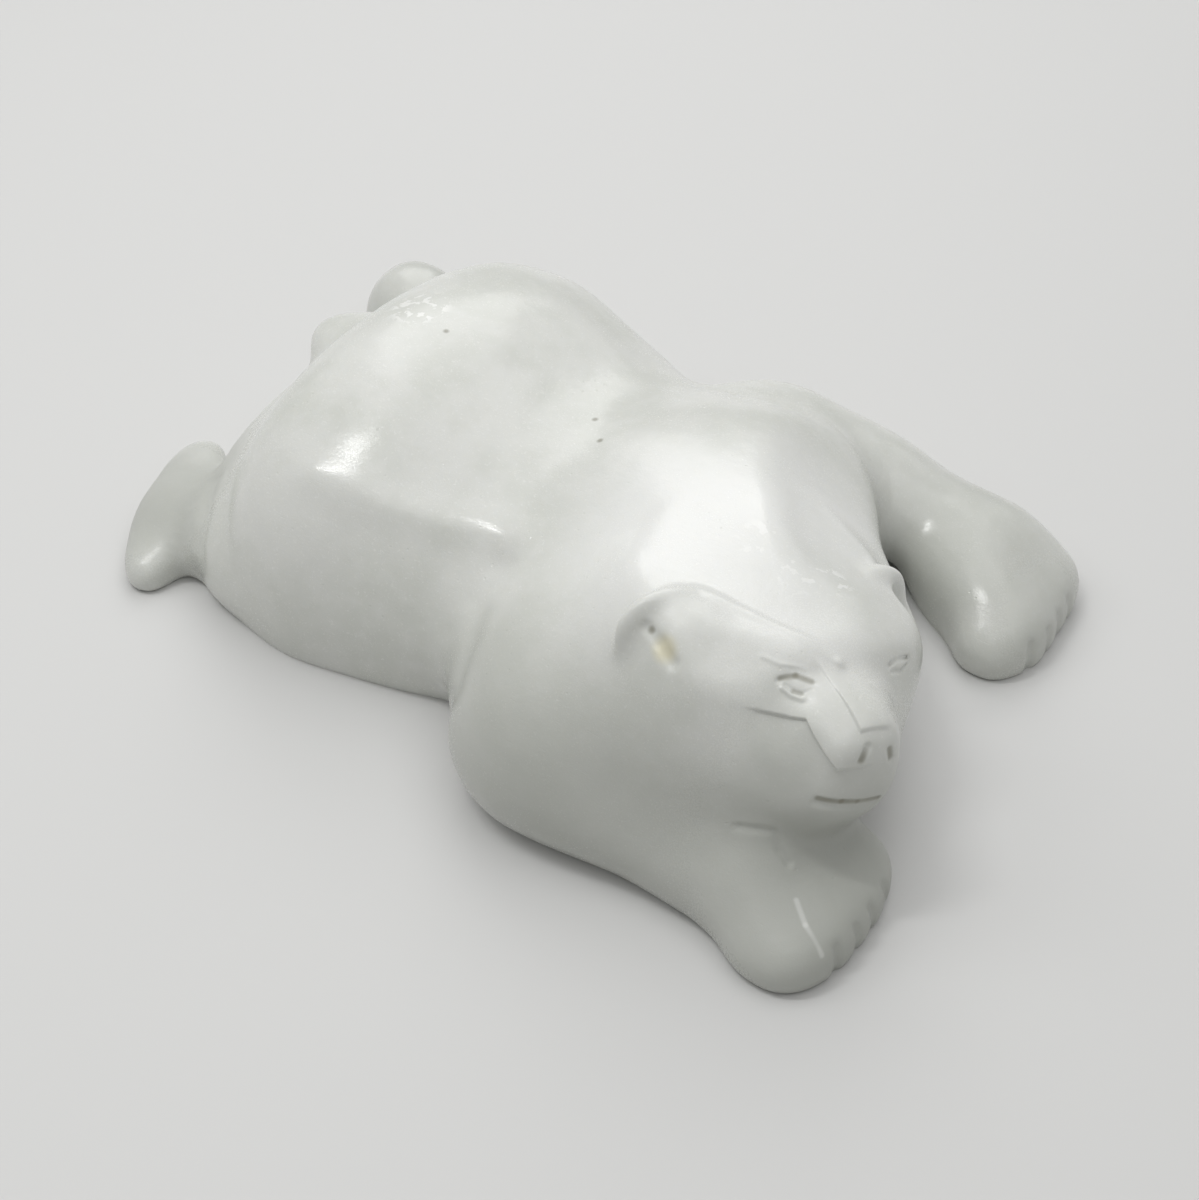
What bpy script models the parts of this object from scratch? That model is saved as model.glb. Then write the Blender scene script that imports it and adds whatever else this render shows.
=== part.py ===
# A polar bear carved from one piece of soft white stone. It lies sprawled on its belly with the forelegs
# stretched out in front, the hind feet splayed behind, and the head raised and turned to its right.
#
# The bear faces +X, its left side is +Y, and it lies on the plane z = 0. The origin is the middle of
# the underside. All sizes are in metres and all angles in degrees.
#
# Each rounded mass of the body is a plain primitive first. The primitives are fused into one blank, as a
# carver saws and rasps a block. The finished surface is then a rule: the distance to every mass, with
# each join eased by its own radius, the broad planes cut flat, and the eyes, ears, nostrils, mouth and
# toes cut in. The blank's vertices are drawn onto that surface, and the underside is cut flat.

from math import cos, radians, sin

import bmesh
import bpy
import numpy as np
from mathutils import Matrix, Vector

# The trunk's masses, rear to front: where each is centred, its half-sizes and its fullness.
# Fullness 2 is an ellipsoid, and a larger value squares its shoulders.
RUMP_CENTRE = (-0.0650, 0.0, 0.0060)
RUMP_HALF = (0.0270, 0.0520, 0.0235)
RUMP_FULLNESS = 2.1
HIPS_CENTRE = (-0.0430, 0.0, 0.0125)
HIPS_HALF = (0.0305, 0.0630, 0.0445)
HIPS_FULLNESS = 2.3
WAIST_CENTRE = (-0.0135, 0.0, 0.0105)
WAIST_HALF = (0.0365, 0.0570, 0.0375)
WAIST_FULLNESS = 2.2
CHEST_CENTRE = (0.0365, 0.0, 0.0180)
CHEST_HALF = (0.0330, 0.0500, 0.0330)
CHEST_FULLNESS = 2.3

# The head's own frame starts between the ears. Its pose is a turn to the right, a lift of the nose and
# a tilt that lowers its left side.
HEAD_PLACE = (0.0690, -0.0260, 0.0493)
HEAD_TURN = -28.0
HEAD_LIFT = 5.0
HEAD_TILT = -15.0

# The neck runs from the chest to the back of the head, and the throat fills the side it turns to.
NECK_BEHIND_HEAD = (-0.0065, 0.0125, -0.0235)
NECK_ROOT_RADIUS = 0.0310
NECK_END_RADIUS = 0.0310
THROAT_BEHIND_HEAD = (-0.0120, -0.0122, -0.0273)
THROAT_HALF = (0.0270, 0.0240, 0.0230)
THROAT_FULLNESS = 2.1

# The shoulder-blade plane: a broad flat rubbed across the left shoulder.
BLADE_POINT = (0.038, 0.034, 0.047)
BLADE_NORMAL = (0.51, 0.41, 0.75)

# The right foreleg. The wrist is placed from the paw. Flatness is height as a share of width.
RIGHT_SHOULDER = (0.0375, -0.0480, 0.0165)
RIGHT_SHOULDER_RADIUS = 0.0285
RIGHT_ELBOW = (0.0375, -0.0577, 0.0127)
RIGHT_ELBOW_RADIUS = 0.0182
RIGHT_WRIST_BEHIND_PAW = (-0.0175, -0.0005, 0.0030)
RIGHT_WRIST_RADIUS = 0.0160
RIGHT_PAW = (0.1010, -0.0585, 0.0040)
RIGHT_PAW_HALF = (0.0130, 0.0220, 0.0090)
RIGHT_LEG_FLATNESS = 0.85

# The left foreleg, which is flatter, and broad on its inner side.
LEFT_SHOULDER = (0.0265, 0.0428, 0.0165)
LEFT_SHOULDER_RADIUS = 0.0255
LEFT_ELBOW = (0.0455, 0.0557, 0.0127)
LEFT_ELBOW_RADIUS = 0.0130
LEFT_WRIST_BEHIND_PAW = (-0.0155, 0.0112, 0.0040)
LEFT_WRIST_RADIUS = 0.0157
LEFT_FOREARM_BEHIND_PAW = (-0.0098, -0.0030, 0.0)
LEFT_FOREARM_HALF = (0.0175, 0.0098, 0.0120)
LEFT_FOREARM_TURN = -22.0
LEFT_PAW = (0.0965, 0.0443, 0.0040)
LEFT_PAW_HALF = (0.0105, 0.0215, 0.0087)
LEFT_LEG_FLATNESS = 0.75
PAW_FULLNESS = 2.4

# The hind legs come out low under the rump and end in splayed feet. Each ankle is placed from its foot.
RIGHT_THIGH = (-0.0600, -0.0440, 0.0090)
RIGHT_ANKLE_BEFORE_FOOT = (0.0060, -0.0010, 0.0020)
RIGHT_ANKLE_RADIUS = 0.0090
RIGHT_FOOT = (-0.0920, -0.0420, 0.0030)
RIGHT_FOOT_HALF = (0.0085, 0.0270, 0.0075)
RIGHT_FOOT_TURN = 25.0
LEFT_THIGH = (-0.0600, 0.0440, 0.0090)
LEFT_ANKLE_BEFORE_FOOT = (0.0040, 0.0, 0.0020)
LEFT_ANKLE_RADIUS = 0.0100
LEFT_FOOT = (-0.0970, 0.0578, 0.0030)
LEFT_FOOT_HALF = (0.0113, 0.0127, 0.0157)
THIGH_RADIUS = 0.0160
HIND_LEG_FLATNESS = 0.85
TAIL = (-0.0730, 0.0095, 0.0320)
TAIL_HALF = (0.0130, 0.0095, 0.0056)

# Head places are (forward, left, up) in the head's own frame.
SKULL_CENTRE = (0.0, 0.0, -0.017)
SKULL_HALF = (0.028, 0.0315, 0.026)
SKULL_FULLNESS = 2.6
CHEEK_CENTRE = (0.0159, 0.0, -0.0205)
CHEEK_HALF = (0.025, 0.0203, 0.0159)
CHEEK_FULLNESS = 2.2
MUZZLE_CENTRE = (0.026, 0.0, -0.016)
MUZZLE_HALF = (0.0175, 0.0104, 0.014)
MUZZLE_FULLNESS = 2.8

# The rubbed planes of the head: a point on each and the way it faces.
MUZZLE_EDGE = (0.030, 0.004, 0.001)
MUZZLE_EDGE_NORMAL = (0.31, 0.68, 0.665)
BROW = (0.028, 0.0, 0.003)
BROW_HALF_WIDTH = 0.001
FOREHEAD_NORMAL = (-0.07, 0.0, 1.0)
RIGHT_TEMPLE_NORMAL = (0.48, -0.47, 0.74)
LEFT_TEMPLE_NORMAL = (0.22, 0.31, 0.93)
BRIDGE_NORMAL = (0.42, 0.0, 0.90)
NOSE_FRONT = (0.043, 0.0, -0.009)
NOSE_NORMAL = (1.0, 0.0, 0.08)

# Each ear is a rounded flap that stands out from the side of the crown, with a cup in its front face.
EAR_PLACE = (0.0005, 0.0265, -0.0050)
EAR_HALF = (0.0035, 0.0087, 0.0088)
EAR_TURN = 4.0
EAR_CUP_OFFSET = (0.0042, 0.0005, 0.0)
EAR_CUP_HALF = (0.0045, 0.0058, 0.0062)

# The small carving on the face.
EYE_FORWARD = 0.028
EYE_SPACING = 0.026
EYE_LENGTH = 0.0090
EYE_OPENING = 0.0034
EYE_DEPTH = 0.0010
NOSTRIL_SPACING = 0.0058
NOSTRIL_DROP = 0.0095
NOSTRIL_HALF = (0.0016, 0.0011, 0.0022)
MOUTH_DROP = 0.0215
MOUTH_WIDTH = 0.019
MOUTH_OPENING = 0.0011
MOUTH_DEPTH = 0.0012

# The toes are parted by short cuts in the front rim of each forepaw.
TOE_CUT_WIDTH = 0.0016
TOE_CUT_LENGTH = 0.0075
TOE_CUT_DEPTH = 0.0013
TOE_CUTS = 4
TOE_FAN = 84.0
LEFT_TOE_TURN = -12.0

# How far each join is eased, from the broad joins of the trunk to the crisp edges of the face.
TRUNK_EASE = 0.022
LIMB_EASE = 0.016
HEAD_EASE = 0.014
PAW_EASE = 0.010
TAIL_EASE = 0.009
FOOT_EASE = 0.008
TUCK_EASE = 0.007
EAR_EASE = 0.004
PLANE_EASE = 0.003
RIDGE_EASE = 0.002
RIM_EASE = 0.0015
CUT_EASE = 0.0006

# How finely the surface is made.
BLANK_CELL = 0.0017
DRAWING_ROUNDS = 18
LONGEST_STEP = 0.002
MOST_TRIANGLES = 9300
KEEL = 0.004
SHARP_ANGLE = 50.0

STONE_COLOUR = (0.72, 0.73, 0.69, 1.0)
STONE_ROUGHNESS = 0.38


def offset_from(place, offset):
    return tuple(a + b for a, b in zip(place, offset))


def ease_together(a, b, radius):
    """Join two distances, filling the corner between them over the given radius."""
    overlap = np.maximum(radius - np.abs(a - b), 0.0) / radius
    return np.minimum(a, b) - overlap * overlap * radius * 0.25


def cut_away(a, b, radius):
    """Keep what is inside both distances, rounding the edge between them over the given radius."""
    return -ease_together(-a, -b, radius)


def turned(turn, lift=0.0, tilt=0.0):
    """Columns are the forward, left and up directions of a frame with that turn, lift and tilt."""
    turn, lift, tilt = radians(turn), radians(lift), radians(tilt)
    forward = np.array((cos(turn) * cos(lift), sin(turn) * cos(lift), sin(lift)))
    level_left = np.array((-sin(turn), cos(turn), 0.0))
    left = level_left * cos(tilt) + np.cross(forward, level_left) * sin(tilt)
    return np.stack((forward, left, np.cross(forward, left)), axis=1)


def beyond(points, place, normal):
    """Distance in front of a plane."""
    normal = np.array(normal) / np.linalg.norm(normal)
    return (points - np.array(place)) @ normal


class Ball:
    """A rounded mass. Fullness 2 is an ellipsoid, and a larger value squares its shoulders."""

    def __init__(self, centre, half, turn=0.0, fullness=2.0):
        self.centre = np.array(centre, dtype=float)
        self.half = np.array(half, dtype=float)
        self.frame = turned(turn)
        self.fullness = fullness

    def distance(self, points):
        place = np.abs((points - self.centre) @ self.frame) / self.half
        size = (place ** self.fullness).sum(1) ** (1.0 / self.fullness) + 1e-9
        slope = place ** (self.fullness - 1.0) / self.half / (size ** (self.fullness - 1.0))[:, None]
        return (size - 1.0) / (np.linalg.norm(slope, axis=1) + 1e-9)

    def add_primitive(self, mesh):
        made = bmesh.ops.create_icosphere(mesh, subdivisions=3, radius=1.0)
        for vertex in made["verts"]:
            place = np.array(vertex.co)
            place /= (np.abs(place) ** self.fullness).sum() ** (1.0 / self.fullness)
            vertex.co = Vector(self.centre + self.frame @ (place * self.half))


class Limb:
    """A tapering limb through joints, each with a radius, and flattened in height."""

    def __init__(self, joints, radii, flatness, ease):
        self.joints = np.array(joints, dtype=float)
        self.radii = radii
        self.flatness = flatness
        self.ease = ease

    def distance(self, points):
        squash = np.array((1.0, 1.0, 1.0 / self.flatness))
        points = points * squash
        joints = self.joints * squash
        nearest = None
        for start, end, first, last in zip(joints, joints[1:], self.radii, self.radii[1:]):
            length = np.linalg.norm(end - start)
            along = (points - start) @ ((end - start) / length)
            across = np.sqrt(np.maximum(((points - start) ** 2).sum(1) - along * along, 0.0))
            taper = np.clip((first - last) / length, -0.95, 0.95)
            upright = np.sqrt(1.0 - taper * taper)
            side = upright * along - taper * across
            distance = upright * across + taper * along - first
            distance = np.where(side < 0.0, np.hypot(across, along) - first, distance)
            distance = np.where(side > upright * length, np.hypot(across, along - length) - last, distance)
            nearest = distance if nearest is None else ease_together(nearest, distance, self.ease)
        return nearest * min(1.0, self.flatness)

    def add_primitive(self, mesh):
        for start, end, first, last in zip(self.joints, self.joints[1:], self.radii, self.radii[1:]):
            ends = []
            for place, radius in ((start, first), (end, last)):
                flat = Matrix.Translation(Vector(place)) @ Matrix.Diagonal((1.0, 1.0, self.flatness, 1.0))
                rounds = {"u_segments": 24, "v_segments": 12, "radius": radius, "matrix": flat}
                ends += bmesh.ops.create_uvsphere(mesh, **rounds)["verts"]
            hull = bmesh.ops.convex_hull(mesh, input=ends)
            hidden = [piece for piece in hull["geom_interior"] if isinstance(piece, bmesh.types.BMVert)]
            bmesh.ops.delete(mesh, geom=hidden, context="VERTS")


RUMP = Ball(RUMP_CENTRE, RUMP_HALF, fullness=RUMP_FULLNESS)
HIPS = Ball(HIPS_CENTRE, HIPS_HALF, fullness=HIPS_FULLNESS)
WAIST = Ball(WAIST_CENTRE, WAIST_HALF, fullness=WAIST_FULLNESS)
CHEST = Ball(CHEST_CENTRE, CHEST_HALF, fullness=CHEST_FULLNESS)
NECK = Limb(
    (CHEST_CENTRE, offset_from(HEAD_PLACE, NECK_BEHIND_HEAD)),
    (NECK_ROOT_RADIUS, NECK_END_RADIUS),
    1.0,
    LIMB_EASE,
)
THROAT = Ball(offset_from(HEAD_PLACE, THROAT_BEHIND_HEAD), THROAT_HALF, fullness=THROAT_FULLNESS)
RIGHT_LEG = Limb(
    (RIGHT_SHOULDER, RIGHT_ELBOW, offset_from(RIGHT_PAW, RIGHT_WRIST_BEHIND_PAW)),
    (RIGHT_SHOULDER_RADIUS, RIGHT_ELBOW_RADIUS, RIGHT_WRIST_RADIUS),
    RIGHT_LEG_FLATNESS,
    LIMB_EASE,
)
LEFT_LEG = Limb(
    (LEFT_SHOULDER, LEFT_ELBOW, offset_from(LEFT_PAW, LEFT_WRIST_BEHIND_PAW)),
    (LEFT_SHOULDER_RADIUS, LEFT_ELBOW_RADIUS, LEFT_WRIST_RADIUS),
    LEFT_LEG_FLATNESS,
    LIMB_EASE,
)
FOREARM_LEFT = Ball(
    offset_from(LEFT_PAW, LEFT_FOREARM_BEHIND_PAW), LEFT_FOREARM_HALF, LEFT_FOREARM_TURN, THROAT_FULLNESS
)
PAW_RIGHT = Ball(RIGHT_PAW, RIGHT_PAW_HALF, fullness=PAW_FULLNESS)
PAW_LEFT = Ball(LEFT_PAW, LEFT_PAW_HALF, fullness=PAW_FULLNESS)
THIGH_RIGHT = Limb(
    (RIGHT_THIGH, offset_from(RIGHT_FOOT, RIGHT_ANKLE_BEFORE_FOOT)),
    (THIGH_RADIUS, RIGHT_ANKLE_RADIUS),
    HIND_LEG_FLATNESS,
    TUCK_EASE,
)
THIGH_LEFT = Limb(
    (LEFT_THIGH, offset_from(LEFT_FOOT, LEFT_ANKLE_BEFORE_FOOT)),
    (THIGH_RADIUS, LEFT_ANKLE_RADIUS),
    HIND_LEG_FLATNESS,
    TUCK_EASE,
)
FOOT_RIGHT = Ball(RIGHT_FOOT, RIGHT_FOOT_HALF, RIGHT_FOOT_TURN, PAW_FULLNESS)
FOOT_LEFT = Ball(LEFT_FOOT, LEFT_FOOT_HALF, fullness=PAW_FULLNESS)
STUB_TAIL = Ball(TAIL, TAIL_HALF)
BODY_MASSES = (
    RUMP, HIPS, WAIST, CHEST, NECK, THROAT, RIGHT_LEG, LEFT_LEG, FOREARM_LEFT, PAW_RIGHT, PAW_LEFT,
    THIGH_RIGHT, THIGH_LEFT, FOOT_RIGHT, FOOT_LEFT, STUB_TAIL,
)

SKULL = Ball(SKULL_CENTRE, SKULL_HALF, fullness=SKULL_FULLNESS)
CHEEKS = Ball(CHEEK_CENTRE, CHEEK_HALF, fullness=CHEEK_FULLNESS)
MUZZLE = Ball(MUZZLE_CENTRE, MUZZLE_HALF, fullness=MUZZLE_FULLNESS)

HEAD_AXES = turned(HEAD_TURN, HEAD_LIFT, HEAD_TILT)
BOTH_SIDES = (-1.0, 1.0)


def into_head(points):
    return (points - np.array(HEAD_PLACE)) @ HEAD_AXES


def out_of_head(points):
    return np.array(HEAD_PLACE) + points @ HEAD_AXES.T


def head_form(points):
    """Skull, cheeks and muzzle in the head's frame, with the planes of forehead, brow and nose cut flat."""
    muzzle = MUZZLE.distance(points)
    for side in BOTH_SIDES:
        across = np.array((1.0, side, 1.0))
        plane = beyond(points, MUZZLE_EDGE * across, MUZZLE_EDGE_NORMAL * across)
        muzzle = cut_away(muzzle, plane, RIDGE_EASE)
    form = ease_together(SKULL.distance(points), CHEEKS.distance(points), FOOT_EASE)
    form = ease_together(form, muzzle, TUCK_EASE)
    right_brow = (BROW[0], -BROW_HALF_WIDTH, BROW[2])
    left_brow = (BROW[0], BROW_HALF_WIDTH, BROW[2])
    form = cut_away(form, beyond(points, BROW, FOREHEAD_NORMAL), PLANE_EASE)
    form = cut_away(form, beyond(points, right_brow, RIGHT_TEMPLE_NORMAL), RIDGE_EASE)
    form = cut_away(form, beyond(points, left_brow, LEFT_TEMPLE_NORMAL), RIDGE_EASE)
    form = cut_away(form, beyond(points, BROW, BRIDGE_NORMAL), PLANE_EASE)
    return cut_away(form, beyond(points, NOSE_FRONT, NOSE_NORMAL), EAR_EASE)


def body_form(points):
    """The trunk, neck, legs, feet and tail, each join eased by its own radius."""
    form = ease_together(HIPS.distance(points), RUMP.distance(points), LIMB_EASE)
    form = ease_together(form, WAIST.distance(points), TRUNK_EASE)
    form = ease_together(form, CHEST.distance(points), TRUNK_EASE)
    right_leg = ease_together(RIGHT_LEG.distance(points), PAW_RIGHT.distance(points), PAW_EASE)
    left_leg = ease_together(LEFT_LEG.distance(points), PAW_LEFT.distance(points), PAW_EASE)
    left_leg = ease_together(left_leg, FOREARM_LEFT.distance(points), FOOT_EASE)
    form = ease_together(form, right_leg, LIMB_EASE)
    form = ease_together(form, NECK.distance(points), LIMB_EASE)
    form = cut_away(form, beyond(points, BLADE_POINT, BLADE_NORMAL), EAR_EASE)
    form = ease_together(form, THROAT.distance(points), LIMB_EASE)
    form = ease_together(form, left_leg, TUCK_EASE)
    for thigh, foot in ((THIGH_RIGHT, FOOT_RIGHT), (THIGH_LEFT, FOOT_LEFT)):
        hind_leg = ease_together(thigh.distance(points), foot.distance(points), FOOT_EASE)
        form = ease_together(form, hind_leg, TUCK_EASE)
    return ease_together(form, STUB_TAIL.distance(points), TAIL_EASE)


def ear_flap(side):
    return Ball(EAR_PLACE * np.array((1.0, side, 1.0)), EAR_HALF, EAR_TURN * side)


def add_ears(form, head):
    """A rounded flap on each side of the crown, hollowed on its front face."""
    for side in BOTH_SIDES:
        cup_place = np.array(offset_from(EAR_PLACE, EAR_CUP_OFFSET)) * np.array((1.0, side, 1.0))
        form = ease_together(form, ear_flap(side).distance(head), EAR_EASE)
        form = cut_away(form, -Ball(cup_place, EAR_CUP_HALF).distance(head), RIM_EASE)
    return form


# Lines that find the skin start well clear of the head, above it or before the nose.
ABOVE_HEAD = 0.030
BEFORE_NOSE = 0.080
DOWNWARD = (0.0, 0.0, -1.0)
BACKWARD = (-1.0, 0.0, 0.0)


def meet(start, direction):
    """The point where a line, followed from outside, first meets the plain form of the head."""
    place = np.array(start, dtype=float)
    direction = np.array(direction) / np.linalg.norm(direction)
    for _ in range(60):
        place = place + direction * head_form(place[None])[0] * 0.8
    return place


EYES = [meet((EYE_FORWARD, EYE_SPACING / 2 * side, ABOVE_HEAD), DOWNWARD) for side in BOTH_SIDES]
NOSTRILS = [meet((BEFORE_NOSE, NOSTRIL_SPACING / 2 * side, -NOSTRIL_DROP), BACKWARD) for side in BOTH_SIDES]


def cut_face(form, head):
    """The eyes are almond hollows with a low ball in each; nostrils are pits; the mouth is one level cut."""
    for place in EYES:
        almond = Ball(place, (EYE_LENGTH / 2, EYE_LENGTH / 2, EYE_OPENING / 2)).distance(head)
        skin = -(form + EYE_DEPTH)
        form = cut_away(form, -cut_away(almond, skin, CUT_EASE), CUT_EASE)
    for place in NOSTRILS:
        form = cut_away(form, -Ball(place, NOSTRIL_HALF).distance(head), CUT_EASE)
    slot = np.abs(head[:, 2] + MOUTH_DROP) - MOUTH_OPENING / 2
    slot = np.maximum(slot, np.abs(head[:, 1]) - MOUTH_WIDTH / 2)
    slot = np.maximum(slot, CHEEK_CENTRE[0] - head[:, 0])
    slot = np.maximum(slot, -(form + MOUTH_DEPTH))
    return cut_away(form, -slot, CUT_EASE)


def cut_toes(form, points, paw, half, turn):
    """Short cuts that fan out across the front rim of a forepaw."""
    for number in range(TOE_CUTS):
        angle = radians(turn + TOE_FAN * (number / (TOE_CUTS - 1) - 0.5))
        outward = np.array((cos(angle), sin(angle), 0.0))
        sideways = np.array((-sin(angle), cos(angle), 0.0))
        local = points - np.array((paw[0], paw[1], 0.0))
        rim = 1.0 / np.hypot(cos(angle) / half[0], sin(angle) / half[1])
        slot = np.abs(local @ sideways) - TOE_CUT_WIDTH / 2
        slot = np.maximum(slot, rim - TOE_CUT_LENGTH - local @ outward)
        slot = np.maximum(slot, -(form + TOE_CUT_DEPTH))
        form = cut_away(form, -slot, CUT_EASE)
    return form


def carved_form(points):
    """The whole finished surface, and a level floor just under the ground that the keel is trimmed from."""
    head = into_head(points)
    form = ease_together(body_form(points), head_form(head), HEAD_EASE)
    form = add_ears(form, head)
    form = cut_face(form, head)
    form = cut_toes(form, points, RIGHT_PAW, RIGHT_PAW_HALF, 0.0)
    form = cut_toes(form, points, LEFT_PAW, LEFT_PAW_HALF, LEFT_TOE_TURN)
    return cut_away(form, -points[:, 2] - KEEL, RIM_EASE)


def clear_scene():
    for thing in list(bpy.data.objects):
        bpy.data.objects.remove(thing, do_unlink=True)


def evaluated_copy(thing):
    """The object's mesh with its modifiers applied."""
    graph = bpy.context.evaluated_depsgraph_get()
    return bpy.data.meshes.new_from_object(thing.evaluated_get(graph))


def rough_blank():
    """All the primitives in one mesh, fused by a voxel remesh."""
    mesh = bmesh.new()
    for mass in BODY_MASSES:
        mass.add_primitive(mesh)
    head = bmesh.new()
    for mass in (SKULL, CHEEKS, MUZZLE):
        mass.add_primitive(head)
    for side in BOTH_SIDES:
        ear_flap(side).add_primitive(head)
    for vertex in head.verts:
        vertex.co = Vector(out_of_head(np.array(vertex.co)))
    head_mesh = bpy.data.meshes.new("head_masses")
    head.to_mesh(head_mesh)
    head.free()
    mesh.from_mesh(head_mesh)
    bpy.data.meshes.remove(head_mesh)
    bmesh.ops.recalc_face_normals(mesh, faces=mesh.faces)
    data = bpy.data.meshes.new("blank")
    mesh.to_mesh(data)
    mesh.free()
    blank = bpy.data.objects.new("blank", data)
    bpy.context.collection.objects.link(blank)
    remesh = blank.modifiers.new("fuse", "REMESH")
    remesh.mode = "VOXEL"
    remesh.voxel_size = BLANK_CELL
    fused = evaluated_copy(blank)
    bpy.data.objects.remove(blank, do_unlink=True)
    return fused


def mesh_arrays(mesh):
    points = np.empty(len(mesh.vertices) * 3)
    mesh.vertices.foreach_get("co", points)
    edges = np.empty(len(mesh.edges) * 2, dtype=np.int64)
    mesh.edges.foreach_get("vertices", edges)
    return points.reshape(-1, 3), edges.reshape(-1, 2)


def slope_of(form, points, step=0.0002):
    """Distance and outward direction at each point, from four samples around it."""
    corners = np.array(((1, -1, -1), (-1, -1, 1), (-1, 1, -1), (1, 1, 1)), dtype=float)
    samples = [form(points + corner * step) for corner in corners]
    distance = sum(samples) / len(samples)
    outward = sum(corner[None] * sample[:, None] for corner, sample in zip(corners, samples))
    steep = np.linalg.norm(outward, axis=1) + 1e-12
    outward /= steep[:, None]
    return distance / np.maximum(steep / (4 * step), 0.5), outward


def neighbour_mean(points, edges):
    total = np.zeros_like(points)
    count = np.bincount(edges.ravel(), minlength=len(points))
    for axis in range(3):
        total[:, axis] = np.bincount(edges[:, 0], points[edges[:, 1], axis], len(points))
        total[:, axis] += np.bincount(edges[:, 1], points[edges[:, 0], axis], len(points))
    return total / count[:, None]


def draw_onto(form, points, edges, rounds, longest_step):
    """Move the vertices onto the surface, spreading them evenly along it between the moves."""
    for number in range(rounds):
        distance, outward = slope_of(form, points)
        points = points - outward * np.clip(distance, -longest_step, longest_step)[:, None]
        if number < rounds - 4:
            shift = neighbour_mean(points, edges) - points
            shift -= outward * (shift * outward).sum(1)[:, None]
            points = points + 0.5 * shift
    return points


def trim_underside(mesh):
    """Cut the keel off level with the ground and close the cut with flat triangles."""
    geometry = list(mesh.verts) + list(mesh.edges) + list(mesh.faces)
    ground = bmesh.ops.bisect_plane(
        mesh, geom=geometry, dist=1e-6, plane_co=(0.0, 0.0, 0.0), plane_no=(0.0, 0.0, 1.0), clear_inner=True
    )
    rim = [edge for edge in ground["geom_cut"] if isinstance(edge, bmesh.types.BMEdge)]
    for edge in rim:
        for vertex in edge.verts:
            vertex.co.z = 0.0
    bmesh.ops.triangle_fill(mesh, edges=rim, normal=(0.0, 0.0, -1.0), use_beauty=True)
    bmesh.ops.triangulate(mesh, faces=mesh.faces)
    bmesh.ops.recalc_face_normals(mesh, faces=mesh.faces)


def centre_on_origin(mesh):
    """Bring the middle of the underside to the origin."""
    for axis in (0, 1):
        reach = [vertex.co[axis] for vertex in mesh.verts]
        middle = (min(reach) + max(reach)) / 2
        for vertex in mesh.verts:
            vertex.co[axis] -= middle


def thinned(mesh, most):
    """The same surface with about the given number of triangles, fewer where it is flatter."""
    thing = bpy.data.objects.new("thinning", mesh)
    bpy.context.collection.objects.link(thing)
    mesh.calc_loop_triangles()
    decimate = thing.modifiers.new("thin", "DECIMATE")
    decimate.ratio = min(1.0, most / len(mesh.loop_triangles))
    decimate.use_collapse_triangulate = True
    light = evaluated_copy(thing)
    bpy.data.objects.remove(thing, do_unlink=True)
    return light


def stone():
    material = bpy.data.materials.new("white_soapstone")
    material.use_nodes = True
    shader = material.node_tree.nodes["Principled BSDF"]
    shader.inputs["Base Color"].default_value = STONE_COLOUR
    shader.inputs["Roughness"].default_value = STONE_ROUGHNESS
    shader.inputs["Metallic"].default_value = 0.0
    return material


def polar_bear():
    fused = rough_blank()
    points, edges = mesh_arrays(fused)
    points = draw_onto(carved_form, points, edges, DRAWING_ROUNDS, LONGEST_STEP)
    fused.vertices.foreach_set("co", points.ravel())
    fused.update()
    light = thinned(fused, MOST_TRIANGLES)
    solid = bmesh.new()
    solid.from_mesh(light)
    trim_underside(solid)
    centre_on_origin(solid)
    data = bpy.data.meshes.new("polar_bear")
    solid.to_mesh(data)
    solid.free()
    data.shade_smooth()
    data.set_sharp_from_angle(angle=radians(SHARP_ANGLE))
    data.materials.append(stone())
    bear = bpy.data.objects.new("polar_bear", data)
    bpy.context.collection.objects.link(bear)
    return bear


clear_scene()
polar_bear()
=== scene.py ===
# %% [markdown]
# # A sprawled polar bear in white soapstone
# The real object is one small block of soft white stone, sawn and rasped into a bear that lies on its
# belly, then rubbed to a satin polish. Everything here is one piece of stone, so the lesson has one mesh:
# the plain solid is copied, made finer, and its surface is drawn onto a more exact rule of the form.
# After that comes the stone itself, which is pale, cloudy, a little glassy and slightly see-through.

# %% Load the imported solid
from math import cos, radians, sin

import bmesh
import bpy
import numpy as np
from mathutils import Matrix, Vector


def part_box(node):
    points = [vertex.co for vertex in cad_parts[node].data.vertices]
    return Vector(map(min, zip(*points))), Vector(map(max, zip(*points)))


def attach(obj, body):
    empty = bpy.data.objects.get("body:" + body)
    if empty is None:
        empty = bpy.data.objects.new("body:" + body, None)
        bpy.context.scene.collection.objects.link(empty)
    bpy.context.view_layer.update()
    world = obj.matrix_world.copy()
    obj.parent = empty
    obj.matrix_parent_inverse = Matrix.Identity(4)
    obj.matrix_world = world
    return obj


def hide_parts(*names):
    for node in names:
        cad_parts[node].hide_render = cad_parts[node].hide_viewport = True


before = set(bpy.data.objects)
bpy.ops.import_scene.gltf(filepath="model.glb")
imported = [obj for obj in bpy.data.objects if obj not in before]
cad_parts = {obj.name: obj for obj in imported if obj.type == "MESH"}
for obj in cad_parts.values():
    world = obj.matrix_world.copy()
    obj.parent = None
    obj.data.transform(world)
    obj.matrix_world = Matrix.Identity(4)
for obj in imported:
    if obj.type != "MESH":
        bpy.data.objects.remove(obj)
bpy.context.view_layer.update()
low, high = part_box("polar_bear")
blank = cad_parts["polar_bear"]
print("the solid measures", [round((b - a) * 1000, 1) for a, b in zip(low, high)], "mm")

# %% [markdown]
# ## The camera
# The bear is seen from above its right front, at 43 degrees of elevation, from less than half a metre.
# A near camera is part of the look, because it makes the head large against the rump. A lens of 60 mm on a
# 36 mm sensor gives that frame, and the camera is placed by its angles rather than by trial.

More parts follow.
